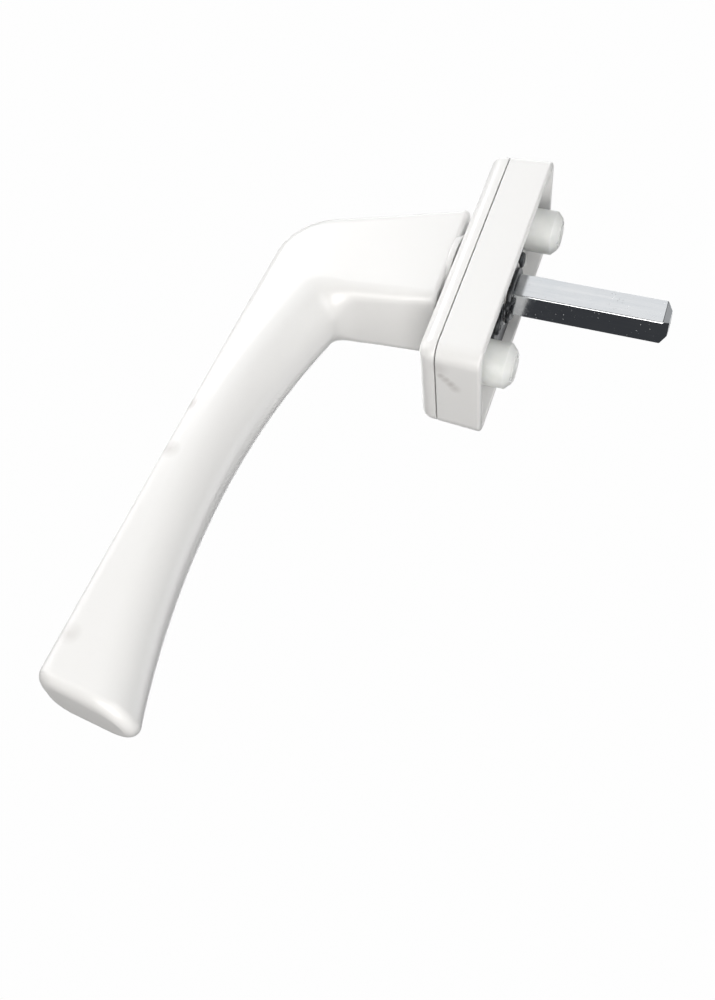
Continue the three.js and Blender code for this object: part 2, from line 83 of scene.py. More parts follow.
# Lever: neck, elbow, grip and tip.
NECK_END = 15.5
NECK_TOP, NECK_TOP_SLOPE = 14.9, 0.3
NECK_BOTTOM, NECK_BOTTOM_SLOPE = -15.2, 0.12
NECK_HALF_WIDTH, NECK_EDGE, NECK_CORNER = 10.5, 1.2, 2.8
GRIP_FRONT, GRIP_FRONT_Z, GRIP_LEAN = 57.4, -12.0, 0.0455
GRIP_END_Z, TIP_SKEW, TIP_LENGTH = -126.6, 2.6, 2.8
THICK_NECK, THICK_WAIST, THICK_TIP = 18.4, 13.0, 22.1
GRIP_BACK_Z, GRIP_BACK_RUN, GRIP_WAIST_Z = -24.0, 4.0, -66.0
GRIP_HALF_WIDTH, TIP_HALF_WIDTH = 10.0, 8.6
TIP_WIDTH_ROUND, TIP_FRONT_ROUND, TIP_BACK_ROUND, TIP_SQUARENESS = 5.0, 1.6, 3.4, 2.8
FRONT_EDGE, BACK_EDGE, MIDDLE_EDGE = 4.2, 8.6, 3.6
LEAST_EDGE, EDGE_CLEARANCE = 0.4, 0.1
ELBOW_RADIUS, ELBOW_SETBACK, CROOK_RADIUS = 15.5, 0.5, 6.5
EDGE_RINGS, NECK_RINGS, ELBOW_RINGS, GRIP_RINGS, TIP_RINGS = 8, 12, 28, 45, 20
SECTION_CORNER_STEPS, SECTION_SIDE_STEPS = 12, 5
FOOT_RADIUS, COLLAR_RADIUS, JOURNAL_RADIUS = 11.2, 9.4, 7.4
FOOT_BACK, COLLAR_BACK, JOURNAL_BACK = -14.8, -11.6, -6.7

# Vertices closer than this, in metres, are one.
WELD, PLATE_WELD = 1e-7, 2e-7
SHARP_DEGREES, NORMAL_WEIGHT = 33.0, 80


# ---- shape tools ------------------------------------------------------------


def lerp(a, b, u):
    return a + (b - a) * u


def smooth(u):
    u = min(max(u, 0.0), 1.0)
    return u * u * (3 - 2 * u)


def quarter(steps):
    """(sine, cosine) at even steps through a quarter turn, both ends included."""
    turns = [i / steps * math.pi / 2 for i in range(steps + 1)]
    return [(math.sin(a), math.cos(a)) for a in turns]


def fractions(count):
    return [i / count for i in range(1, count + 1)]


def angles(start, end, steps):
    return [lerp(start, end, i / steps) for i in range(steps + 1)]


def arc_points(radius, start, end, steps, at=(0, 0)):
    return [
        Vector((at[0] + radius * math.cos(a), at[1] + radius * math.sin(a)))
        for a in angles(start, end, steps)
    ]


def rounded_rect(half_w, half_h, top, bottom, steps, side):
    """Outline with one corner radius at the top and one at the bottom, and points along its sides."""
    corners = ((1, 1, top, 0), (-1, 1, top, 90), (-1, -1, bottom, 180), (1, -1, bottom, 270))
    arcs = []
    for sx, sy, radius, start in corners:
        x, y = sx * (half_w - radius), sy * (half_h - radius)
        arc = []
        for i in range(steps + 1):
            a = math.radians(start + 90 * i / steps)
            arc.append(Vector((x + radius * math.cos(a), y + radius * math.sin(a))))
        arcs.append(arc)
    points = []
    for k, arc in enumerate(arcs):
        points += arc
        following = arcs[(k + 1) % 4][0]
        points += [arc[-1].lerp(following, i / (side + 1)) for i in range(1, side + 1)]
    return points


def at_depth(outline, y):
    return [Vector((p.x, y, p.y)) for p in outline]


def round_like(outline, radius):
    """Circle whose points sit at the same angles as the outline's."""
    return [p.normalized() * radius for p in outline]


def filleted(points, radii, steps=5, closed=True):
    """The polygon with its corners rounded; radii is one number or one for each corner."""
    count = len(points)
    if not isinstance(radii, (list, tuple)):
        radii = [radii] * count
    result = []
    for i, p in enumerate(points):
        p = Vector(p)
        radius = radii[i]
        if radius <= 0 or (not closed and i in (0, count - 1)):
            result.append(p)
            continue
        u = Vector(points[i - 1]) - p
        v = Vector(points[(i + 1) % count]) - p
        reach_limit = 0.49 * min(u.length, v.length)
        u.normalize()
        v.normalize()
        half = math.acos(max(-1.0, min(1.0, u.dot(v)))) / 2
        if half > math.pi / 2 - 0.01:
            result.append(p)
            continue
        reach = min(radius / math.tan(half), reach_limit)
        radius = reach * math.tan(half)
        centre = p + (u + v).normalized() * (radius / math.sin(half))
        start, end = p + u * reach - centre, p + v * reach - centre
        a0 = math.atan2(start.y, start.x)
        turn = math.atan2(start.x * end.y - start.y * end.x, start.dot(end))
        for k in range(steps + 1):
            a = a0 + turn * k / steps
            result.append(centre + Vector((math.cos(a), math.sin(a))) * radius)
    return result


def to_object(name, vertices, faces):
    mesh = bpy.data.meshes.new(name)
    mesh.from_pydata([tuple(p * MM) for p in vertices], [], faces)
    bm = bmesh.new()
    bm.from_mesh(mesh)
    bmesh.ops.remove_doubles(bm, verts=bm.verts, dist=WELD)
    bmesh.ops.recalc_face_normals(bm, faces=bm.faces)
    bm.to_mesh(mesh)
    bm.free()
    obj = bpy.data.objects.new(name, mesh)
    bpy.context.scene.collection.objects.link(obj)
    return obj


def skin(name, rings, loop=False):
    """Closed skin over rings; loop joins the last ring to the first, else both ends are capped."""
    n = len(rings[0])
    vertices = [p for ring in rings for p in ring]
    faces = []
    for i in range(len(rings) if loop else len(rings) - 1):
        a, b = i * n, ((i + 1) % len(rings)) * n
        for j in range(n):
            k = (j + 1) % n
            faces.append((a + j, a + k, b + k, b + j))
    if not loop:
        faces.append(tuple(range(n)))
        faces.append(tuple(range((len(rings) - 1) * n, len(rings) * n)))
    return to_object(name, vertices, faces)


def lathe(name, profile, loop=True, segments=96, at=(0, 0)):
    """Ring or solid of revolution about an axis along Y, from (radius, y) points."""
    rings = []
    for radius, y in profile:
        ring = []
        for i in range(segments):
            a = 2 * math.pi * i / segments
            ring.append(Vector((at[0] + radius * math.cos(a), y, at[1] + radius * math.sin(a))))
        rings.append(ring)
    return skin(name, rings, loop)


def ring_piece(name, inner, outer, y0, y1, edge):
    profile = filleted([(inner, y0), (outer, y0), (outer, y1), (inner, y1)], edge, 4)
    return lathe(name, profile)


def block(name, size, at, edge=0.0, steps=3):
    """Box with rounded edges."""
    bm = bmesh.new()
    bmesh.ops.create_cube(bm, size=1)
    bmesh.ops.scale(bm, vec=Vector(size) * MM, verts=bm.verts)
    bmesh.ops.translate(bm, vec=Vector(at) * MM, verts=bm.verts)
    if edge:
        bmesh.ops.bevel(
            bm,
            geom=list(bm.edges),
            offset=edge * MM,
            segments=steps,
            profile=0.5,
            affect="EDGES",
            clamp_overlap=True,
        )
    mesh = bpy.data.meshes.new(name)
    bm.to_mesh(mesh)
    bm.free()
    obj = bpy.data.objects.new(name, mesh)
    bpy.context.scene.collection.objects.link(obj)
    return obj


def plate(name, outlines, y0, y1, edge=0.12, steps=2):
    """Sheet piece cut to closed outlines in (x, z), holes included, with rounded edges."""
    curve = bpy.data.curves.new(name, "CURVE")
    curve.dimensions = "2D"
    curve.fill_mode = "BOTH"
    curve.extrude = ((y1 - y0) / 2 - edge) * MM
    curve.bevel_depth = edge * MM
    curve.bevel_resolution = steps
    curve.offset = -edge * MM
    for outline in outlines:
        spline = curve.splines.new("POLY")
        spline.points.add(len(outline) - 1)
        for point, (x, z) in zip(spline.points, outline):
            point.co = (x * MM, z * MM, 0, 1)
        spline.use_cyclic_u = True
    shape = bpy.data.objects.new(name + "_curve", curve)
    bpy.context.scene.collection.objects.link(shape)
    mesh = evaluated_mesh(shape)
    middle = Matrix.Translation((0, (y0 + y1) / 2 * MM, 0))
    mesh.transform(middle @ Matrix.Rotation(math.pi / 2, 4, "X"))
    bpy.data.objects.remove(shape)
    obj = bpy.data.objects.new(name, mesh)
    bpy.context.scene.collection.objects.link(obj)
    bm = bmesh.new()
    bm.from_mesh(mesh)
    bmesh.ops.remove_doubles(bm, verts=bm.verts, dist=PLATE_WELD)
    bmesh.ops.recalc_face_normals(bm, faces=bm.faces)
    bm.to_mesh(mesh)
    bm.free()
    return obj


def evaluated_mesh(obj):
    bpy.context.view_layer.update()
    shown = obj.evaluated_get(bpy.context.evaluated_depsgraph_get())
    return bpy.data.meshes.new_from_object(shown)


def combine(obj, tools, operation):
    """Joins or cuts with each tool in turn, then drops the tools."""
    for tool in tools:
        modifier = obj.modifiers.new("combine", "BOOLEAN")
        modifier.operation = operation
        modifier.solver = "MANIFOLD"
        modifier.object = tool
    mesh = evaluated_mesh(obj)
    obj.modifiers.clear()
    obj.data = mesh
    for tool in tools:
        bpy.data.objects.remove(tool)


def circle(radius, steps=96, at=(0, 0)):
    turns = [2 * math.pi * i / steps for i in range(steps)]
    return [(at[0] + radius * math.cos(a), at[1] + radius * math.sin(a)) for a in turns]


def cylinder(name, radius, y0, y1, segments=64, at=(0, 0)):
    return lathe(name, [(radius, y0), (radius, y1)], False, segments, at)


# ---- materials --------------------------------------------------------------

# Marks on the paint: (place in mm, radius, fade, strength).
SCUFFS = (
    ((5.8, -8.9, -33.0), 0.3, 1.0, 0.60),
    ((4.8, -7.9, -33.0), 0.3, 1.1, 0.60),
    ((3.7, -6.7, -33.0), 0.3, 1.2, 0.50),
    ((2.6, -5.7, -33.0), 0.3, 1.4, 0.35),
    ((8.2, -9.2, -33.0), 0.2, 2.4, 0.30),
    ((9.3, -58.0, -56.6), 0.3, 1.8, 0.45),
    ((9.3, -57.2, -69.0), 0.3, 2.2, 0.45),
    ((8.6, -58.7, -113.8), 0.3, 2.4, 0.30),
)


class Nodes:
    """Short way to lay out one material's nodes.

    Texture scales are per metre of the object, bump distances are in millimetres,
    and colours are linear.
    """

    def __init__(self, name):
        self.material = bpy.data.materials.new(name)
        self.material.use_nodes = True
        self.tree = self.material.node_tree
        self.tree.nodes.clear()
        self.shader = self.tree.nodes.new("ShaderNodeBsdfPrincipled")
        output = self.tree.nodes.new("ShaderNodeOutputMaterial")
        self.tree.links.new(self.shader.outputs[0], output.inputs[0])
        self.place = self.tree.nodes.new("ShaderNodeTexCoord").outputs["Object"]
        self.bump_normal = None

    def stretched(self, scale):
        node = self.tree.nodes.new("ShaderNodeMapping")
        node.inputs["Scale"].default_value = scale
        self.tree.links.new(self.place, node.inputs["Vector"])
        return node.outputs[0]

    def noise(self, scale, detail=2.0, rough=0.5, vector=None):
        node = self.tree.nodes.new("ShaderNodeTexNoise")
        node.inputs["Scale"].default_value = scale
        node.inputs["Detail"].default_value = detail
        node.inputs["Roughness"].default_value = rough
        self.tree.links.new(vector or self.place, node.inputs["Vector"])
        return node.outputs["Fac"]

    def spots(self, scale):
        node = self.tree.nodes.new("ShaderNodeTexVoronoi")
        node.inputs["Scale"].default_value = scale
        self.tree.links.new(self.place, node.inputs["Vector"])
        return node.outputs["Distance"]

    def remap(self, value, low, high, to_low=0.0, to_high=1.0):
        node = self.tree.nodes.new("ShaderNodeMapRange")
        node.inputs["From Min"].default_value = low
        node.inputs["From Max"].default_value = high
        node.inputs["To Min"].default_value = to_low
        node.inputs["To Max"].default_value = to_high
        self.tree.links.new(value, node.inputs["Value"])
        return node.outputs[0]

    def math(self, operation, a, b):
        node = self.tree.nodes.new("ShaderNodeMath")
        node.operation = operation
        for socket, value in zip(node.inputs, (a, b)):
            if isinstance(value, (int, float)):
                socket.default_value = value
            else:
                self.tree.links.new(value, socket)
        return node.outputs[0]

    def near(self, point, radius, fade):
        """1 within radius of a point given in millimetres, falling to 0 over fade."""
        node = self.tree.nodes.new("ShaderNodeVectorMath")
        node.operation = "DISTANCE"
        node.inputs[1].default_value = Vector(point) * MM
        self.tree.links.new(self.place, node.inputs[0])
        return self.remap(node.outputs["Value"], radius * MM, (radius + fade) * MM, 1.0, 0.0)

    def mix(self, factor, a, b):
        node = self.tree.nodes.new("ShaderNodeMix")
        node.data_type = "RGBA"
        self.tree.links.new(factor, node.inputs[0])
        for socket, value in ((node.inputs[6], a), (node.inputs[7], b)):
            if isinstance(value, tuple):
                socket.default_value = (*value, 1.0)
            else:
                self.tree.links.new(value, socket)
        return node.outputs[2]

    def bump(self, height, distance_mm, strength=1.0):
        node = self.tree.nodes.new("ShaderNodeBump")
        node.inputs["Strength"].default_value = strength
        node.inputs["Distance"].default_value = distance_mm * MM
        self.tree.links.new(height, node.inputs["Height"])
        if self.bump_normal is not None:
            self.tree.links.new(self.bump_normal, node.inputs["Normal"])
        self.bump_normal = node.outputs[0]

    def done(self, colour, roughness, **sockets):
        links = self.tree.links
        links.new(colour, self.shader.inputs["Base Color"])
        links.new(roughness, self.shader.inputs["Roughness"])
        if self.bump_normal is not None:
            links.new(self.bump_normal, self.shader.inputs["Normal"])
        for socket, value in sockets.items():
            self.shader.inputs[socket.replace("_", " ")].default_value = value
        return self.material


def white_paint():
    """Satin powder coat: orange peel, fine grain, a few scuffs, slightly uneven gloss."""
    n = Nodes("white_paint_coat")
    cloud = n.noise(26, 0, 0.5)
    colour = n.mix(n.remap(cloud, 0.2, 0.8), (0.843, 0.843, 0.836), (0.848, 0.848, 0.842))
    scuffs = None
    for point, radius, fade, amount in SCUFFS:
        spot = n.math("MULTIPLY", n.near(point, radius, fade), amount)
        scuffs = spot if scuffs is None else n.math("MAXIMUM", scuffs, spot)
    scuffs = n.math("MULTIPLY", scuffs, n.remap(n.noise(330, 2, 0.5), 0.3, 0.7, 0.55, 1.0))
    colour = n.mix(scuffs, colour, (0.33, 0.30, 0.28))
    rough = n.remap(n.noise(60, 1, 0.5), 0.2, 0.8, 0.28, 0.31)
    rough = n.math("ADD", rough, n.math("MULTIPLY", scuffs, 0.2))
    n.bump(n.noise(620, 2, 0.45), 0.04, 0.28)
    n.bump(n.noise(2600, 3, 0.6), 0.012, 0.3)
    return n.done(colour, rough, Coat_Weight=0.2, Coat_Roughness=0.12, Specular_IOR_Level=0.5)


def zinc_plate():
    """Bright zinc on drawn steel: soft streaks along the bar, small pits and pale dust."""
    n = Nodes("zinc_plate_bright")
    streak = n.noise(700, 3, 0.6, n.stretched((1.0, 0.04, 1.0)))
    cloud = n.noise(150, 4, 0.6)
    colour = n.mix(n.remap(streak, 0.3, 0.7), (0.80, 0.82, 0.84), (0.90, 0.91, 0.92))
    colour = n.mix(n.math("MULTIPLY", n.remap(cloud, 0.45, 0.75), 0.35), colour, (0.72, 0.76, 0.80))
    pit = n.remap(n.spots(1100), 0.0, 0.2, 1.0, 0.0)
    pit = n.math("MULTIPLY", pit, n.remap(n.noise(240, 2), 0.54, 0.64))
    colour = n.mix(n.math("MULTIPLY", pit, 0.7), colour, (0.16, 0.16, 0.16))
    dust = n.remap(n.spots(1050), 0.05, 0.17, 1.0, 0.0)
    dust = n.math("MULTIPLY", dust, n.remap(n.noise(330, 2), 0.48, 0.58))
    colour = n.mix(n.math("MULTIPLY", dust, 0.6), colour, (0.95, 0.95, 0.95))
    rough = n.remap(n.noise(420, 4, 0.6), 0.3, 0.75, 0.10, 0.20)
    rough = n.math("ADD", rough, n.math("MULTIPLY", dust, 0.5))
    n.tree.links.new(n.remap(dust, 0.0, 1.0, 1.0, 0.45), n.shader.inputs["Metallic"])
    rough = n.math("ADD", rough, n.math("MULTIPLY", pit, 0.4))
    n.bump(streak, 0.004, 0.35)
    n.bump(n.noise(900, 3, 0.55), 0.004, 0.35)
    n.bump(n.math("MULTIPLY", pit, -1.0), 0.02, 0.5)
    return n.done(colour, rough)


def dark_steel():
    """Phosphated steel: nearly black, blotched, with a dry fine grain."""
    n = Nodes("dark_steel_phosphate")
    blotch = n.remap(n.noise(700, 5, 0.7), 0.3, 0.7)
    colour = n.mix(blotch, (0.045, 0.05, 0.055), (0.13, 0.135, 0.14))
    rub = n.math("MULTIPLY", n.remap(n.noise(180, 3, 0.6), 0.58, 0.75), 0.6)
    colour = n.mix(rub, colour, (0.30, 0.31, 0.32))
    rough = n.remap(n.noise(500, 4, 0.6), 0.3, 0.7, 0.34, 0.56)
    n.bump(n.noise(3200, 3, 0.6), 0.012, 0.5)
    n.bump(n.noise(420, 2, 0.5), 0.03, 0.3)
    return n.done(colour, rough, Metallic=0.9)


def spring_steel():
    """Rolled strip with a straw tint and lengthwise rolling lines."""
    n = Nodes("spring_steel_rolled")
    lines = n.noise(1500, 3, 0.6, n.stretched((1.0, 1.0, 0.06)))
    colour = n.mix(n.remap(lines, 0.3, 0.7), (0.30, 0.31, 0.32), (0.50, 0.50, 0.49))
    tint = n.math("MULTIPLY", n.remap(n.noise(140, 2), 0.45, 0.7), 0.5)
    colour = n.mix(tint, colour, (0.42, 0.36, 0.27))
    rough = n.remap(n.noise(600, 3), 0.3, 0.7, 0.2, 0.36)
    n.bump(lines, 0.01, 0.5)
    return n.done(colour, rough, Metallic=1.0)


def white_nylon():
    """Milky moulded nylon that glows a little inside, with a fine spark-eroded grain."""
    n = Nodes("white_nylon_moulded")
    cloud = n.remap(n.noise(300, 3, 0.5), 0.3, 0.7)
    colour = n.mix(cloud, (0.78, 0.80, 0.785), (0.86, 0.87, 0.855))
    rough = n.remap(n.noise(480, 4, 0.6), 0.3, 0.7, 0.28, 0.42)
    n.bump(n.noise(2400, 3, 0.6), 0.012, 0.45)
    n.bump(n.noise(330, 2), 0.03, 0.25)
    material = n.done(colour, rough, Subsurface_Weight=0.85, Subsurface_Scale=0.0022, IOR=1.53)
    n.shader.inputs["Subsurface Radius"].default_value = (1.0, 1.0, 0.95)
    return material


def bearing_plastic():
    """Ivory acetal bearings: smooth, turned finish."""
    n = Nodes("bearing_plastic_acetal")
    cloud = n.remap(n.noise(220, 3, 0.5), 0.3, 0.7)
    colour = n.mix(cloud, (0.62, 0.62, 0.58), (0.72, 0.72, 0.68))
    rough = n.remap(n.noise(420, 3), 0.3, 0.7, 0.36, 0.5)
    n.bump(n.noise(2800, 3, 0.6), 0.01, 0.4)
    return n.done(colour, rough, IOR=1.48)


MATERIALS = {
    "white_paint": white_paint(),
    "zinc_plate": zinc_plate(),
    "dark_steel": dark_steel(),
    "spring_steel": spring_steel(),
    "white_nylon": white_nylon(),
    "bearing_plastic": bearing_plastic(),
}


def piece(obj, body, slot, *nodes):
    """Gives a finished shape its shading and material, parents it to its body, and hides the CAD nodes
    it stands for.
    """
    mesh = obj.data
    mesh.materials.clear()
    mesh.materials.append(MATERIALS[slot])
    mesh.shade_smooth()
    mesh.set_sharp_from_angle(angle=math.radians(SHARP_DEGREES))
    weighted = obj.modifiers.new("weighted", "WEIGHTED_NORMAL")
    weighted.keep_sharp = True
    weighted.weight = NORMAL_WEIGHT
    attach(obj, body)
    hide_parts(*nodes)


# ---- lever ------------------------------------------------------------------


def grip_front(z):
    return Vector((-GRIP_FRONT + (z - GRIP_FRONT_Z) * GRIP_LEAN, z))


def grip_back(z):
    above = max(0.0, (z - GRIP_WAIST_Z) / (GRIP_BACK_Z - GRIP_WAIST_Z))
    below = max(0.0, (z - GRIP_WAIST_Z) / (GRIP_END_Z - GRIP_WAIST_Z))
    towards_neck = (THICK_NECK - THICK_WAIST) * above**2
    thickness = THICK_WAIST + towards_neck + (THICK_TIP - THICK_WAIST) * below**2
    return grip_front(z) + Vector((thickness, 0))


def bend(start_line, corner, end_line, radius):
    """Straight, arc, straight in the (y, z) plane; gives the arc's ends and the arc itself."""
    u, v = (corner - start_line).normalized(), (end_line - corner).normalized()
    turn = math.acos(u.dot(v))
    reach = radius * math.tan(turn / 2)
    start, end = corner - u * reach, corner + v * reach
    side = math.copysign(1, u.x * v.y - u.y * v.x)
    centre = start + Vector((-u.y, u.x)) * side * radius

    def arc(t):
        a = side * turn * t
        d = start - centre
        x = d.x * math.cos(a) - d.y * math.sin(a)
        y = d.x * math.sin(a) + d.y * math.cos(a)
        return centre + Vector((x, y))

    return start, end, arc


def section(outer, inner, half_width, outer_radius, inner_radius, inset=0.0):
    """Cross-section between a front and a back point of the side profile."""
    centre = (outer + inner) / 2
    up = outer - inner
    half_height = up.length / 2 - inset
    up.normalize()
    widest = half_width - EDGE_CLEARANCE
    front = max(LEAST_EDGE, min(outer_radius - inset, widest))
    left_over = 2 * half_height - front - EDGE_CLEARANCE
    back = max(LEAST_EDGE, min(inner_radius - inset, widest, left_over))
    steps = (SECTION_CORNER_STEPS, SECTION_SIDE_STEPS)
    outline = rounded_rect(half_width, half_height, front, back, *steps)
    return [Vector((p.x, centre.x + up.x * p.y, centre.y + up.y * p.y)) for p in outline]


def lever_rings():
    """Sections from the neck's end at the rose, round the elbow and down to the tip."""
    o_from = Vector((-NECK_END, NECK_TOP))
    reach = (GRIP_FRONT - NECK_END - ELBOW_SETBACK) / (1 - NECK_TOP_SLOPE * GRIP_LEAN)
    corner = o_from + Vector((-1, -NECK_TOP_SLOPE)) * reach
    corner.x = grip_front(corner.y).x
    o_start, o_end, o_arc = bend(o_from, corner, grip_front(GRIP_END_Z), ELBOW_RADIUS)

    i_from = Vector((-NECK_END, NECK_BOTTOM))
    back, below = grip_back(GRIP_BACK_Z), grip_back(GRIP_BACK_Z - GRIP_BACK_RUN)
    lean = (back.x - below.x) / (back.y - below.y)
    run = (i_from.x - back.x - (i_from.y - back.y) * lean) / (1 - NECK_BOTTOM_SLOPE * lean)
    i_corner = i_from + Vector((-1, -NECK_BOTTOM_SLOPE)) * run
    i_start, i_end, i_arc = bend(i_from, i_corner, below, CROOK_RADIUS)

    rings = []
    for sine, cosine in quarter(EDGE_RINGS):
        inset = NECK_EDGE * (1 - sine)
        shift = Vector((-NECK_EDGE * (1 - cosine), 0))
        width = NECK_HALF_WIDTH - inset
        rings.append(section(o_from + shift, i_from + shift, width, NECK_CORNER, NECK_CORNER, inset))
    for u in fractions(NECK_RINGS):
        width = lerp(NECK_HALF_WIDTH, GRIP_HALF_WIDTH, smooth(u))
        radius = lerp(NECK_CORNER, MIDDLE_EDGE, u)
        rings.append(section(o_from.lerp(o_start, u), i_from.lerp(i_start, u), width, radius, radius))
    for u in fractions(ELBOW_RINGS):
        front = lerp(MIDDLE_EDGE, FRONT_EDGE, u)
        rear = lerp(MIDDLE_EDGE, BACK_EDGE, smooth(u))
        rings.append(section(o_arc(u), i_arc(u), GRIP_HALF_WIDTH, front, rear))
    grip_end = GRIP_END_Z + TIP_LENGTH
    for u in fractions(GRIP_RINGS):
        front = grip_front(lerp(o_end.y, grip_end + TIP_SKEW, u))
        rear = grip_back(lerp(i_end.y, grip_end, u))
        width = lerp(GRIP_HALF_WIDTH, TIP_HALF_WIDTH, u * u)
        rings.append(section(front, rear, width, FRONT_EDGE, BACK_EDGE))
    for sine, cosine in quarter(TIP_RINGS)[1:]:
        down = sine ** (2 / TIP_SQUARENESS)
        z = grip_end - TIP_LENGTH * down
        drawn_in = 1 - max(0.0, cosine) ** (2 / TIP_SQUARENESS)
        width = TIP_HALF_WIDTH - TIP_WIDTH_ROUND * drawn_in
        rounded = 1 - math.sqrt(max(0.0, 1 - down**2))
        front = grip_front(z + TIP_SKEW) + Vector((TIP_FRONT_ROUND * rounded, 0))
        rear = grip_back(z) - Vector((TIP_BACK_ROUND * rounded, 0))
        rings.append(section(front, rear, width, FRONT_EDGE, BACK_EDGE))
    return rings


def pin_hole(half_length):
    """Tool for the spring pin's cross hole, which runs along X through the spindle's axis."""
    hole = cylinder("pin_hole", PIN_HOLE, -half_length, half_length, 32)
    place = Matrix.Translation((0, PIN_Y * MM, 0))
    hole.data.transform(place @ Matrix.Rotation(math.pi / 2, 4, "Z"))
    return hole


def lever_handle():
    body = skin("lever_handle_casting", lever_rings())
    turned = filleted(
        [
            (9.8, -16.7),
            (FOOT_RADIUS, -16.1),
            (FOOT_RADIUS, FOOT_BACK),
            (COLLAR_RADIUS, FOOT_BACK),
            (COLLAR_RADIUS, COLLAR_BACK),
            (JOURNAL_RADIUS, COLLAR_BACK),
            (JOURNAL_RADIUS, JOURNAL_BACK),
        ],
        [0, 0.3, 0.35, 0.3, 0.25, 0.2, 0],
        closed=False,
    )
    combine(body, [lathe("foot", turned, False, 128)], "UNION")
    socket = block("socket", (SOCKET_SIZE, SOCKET_LENGTH, SOCKET_SIZE), (0, SOCKET_MIDDLE, 0))
    combine(body, [socket, pin_hole(12)], "DIFFERENCE")
    piece(body, "lever", "white_paint", "lever_handle")


# ---- rose: cover, base and what is fixed to it -------------------------------


def rose_outline(half, corner, inset, smallest=0.0):
    """Outline with many points along its sides, because the round holes share its angles."""
    radius = max(smallest, corner - inset)
    steps = (ROSE_CORNER_STEPS, ROSE_SIDE_STEPS)
    return rounded_rect(half[0] - inset, half[1] - inset, radius, radius, *steps)


def between(outline, other, u, y):
    """Ring part way from one outline to the other, point by point."""
    return at_depth([p.lerp(q, u) for p, q in zip(outline, other)], y)


def cover_plate():
    def outline(inset):
        return rose_outline(COVER_HALF, COVER_CORNER, inset, COVER_LEAST_CORNER)

    rings = []
    for sine, cosine in quarter(3):
        y = COVER_BACK - COVER_BACK_ROUND * (1 - cosine)
        rings.append(at_depth(outline(COVER_BACK_ROUND * (1 - sine)), y))
    for sine, cosine in quarter(14):
        y = COVER_FRONT + COVER_ROUND * (1 - sine)
        rings.append(at_depth(outline(COVER_ROUND * (1 - cosine)), y))
    flat = outline(COVER_ROUND)
    for u in (0.5, 0.8):
        rings.append(between(flat, round_like(flat, COVER_MOUTH), u, COVER_FRONT))
    for sine, cosine in quarter(5):
        mouth = round_like(flat, COVER_MOUTH - COVER_MOUTH_ROUND * sine)
        rings.append(at_depth(mouth, COVER_FRONT + COVER_MOUTH_ROUND * (1 - cosine)))
    rings.append(at_depth(round_like(flat, HOLE_RADIUS), COVER_HOLE_END))
    rings.append(at_depth(round_like(flat, HOLE_CHAMFERED), COVER_INSIDE))
    inner = outline(COVER_INNER_WALL[0][0])
    rings.append(between(round_like(inner, HOLE_CHAMFERED), inner, 0.5, COVER_INSIDE))
    rings += [at_depth(outline(inset), y) for inset, y in COVER_INNER_WALL]
    shell = skin("cover_plate_shell", rings, loop=True)
    ribs = [block("rib", (1.2, 1.3, 16), (0, -12.45, side * 22.5), 0.15) for side in (1, -1)]
    combine(shell, ribs, "UNION")
    piece(shell, "cover", "white_paint", "cover_plate")


def base_shell():
    """Outer wall, front with its round hole, and the hollow back, as one closed skin."""

    def outline(inset):
        return rose_outline(ROSE_HALF, ROSE_CORNER, inset)

    rings = []
    for sine, cosine in quarter(4):
        rings.append(at_depth(outline(RIM_ROUND * (1 - sine)), -RIM_ROUND * (1 - cosine)))
    for i in range(1, 4):
        y = -RIM_ROUND - (-BASE_SIDE_END - RIM_ROUND) * i / 4
        rings.append(at_depth(outline(BASE_DRAFT * i / 4), y))
    for sine, cosine in quarter(4):
        y = SEAM_ROUND_START - SEAM_ROUND * sine
        rings.append(at_depth(outline(SEAM_INSET - SEAM_ROUND * cosine), y))
    flat = outline(SEAM_INSET)
    hole, mouth = round_like(flat, HOLE_RADIUS), round_like(flat, HOLE_CHAMFERED)
    rings.append(between(flat, mouth, 0.6, BASE_FRONT))
    rings.append(at_depth(mouth, BASE_FRONT))
    rings.append(at_depth(hole, SEAM_ROUND_START))
    rings.append(at_depth(hole, WEB_HOLE_END))
    rings.append(at_depth(mouth, WEB_BACK))
    floor = outline(WEB_INSET)
    rings.append(between(round_like(floor, HOLE_CHAMFERED), floor, 0.5, WEB_BACK))
    for sine, cosine in quarter(4):
        inset = WEB_INSET - WEB_ROUND * sine
        rings.append(at_depth(outline(inset), WEB_BACK + WEB_ROUND * (1 - cosine)))
    rings.append(at_depth(outline(BASE_WALL), -RIM_INNER_ROUND))
    for sine, cosine in quarter(3)[1:]:
        inset = BASE_WALL - RIM_INNER_ROUND * (1 - cosine)
        rings.append(at_depth(outline(inset), -RIM_INNER_ROUND + RIM_INNER_ROUND * sine))
    return skin("base_housing_shell", rings, loop=True)


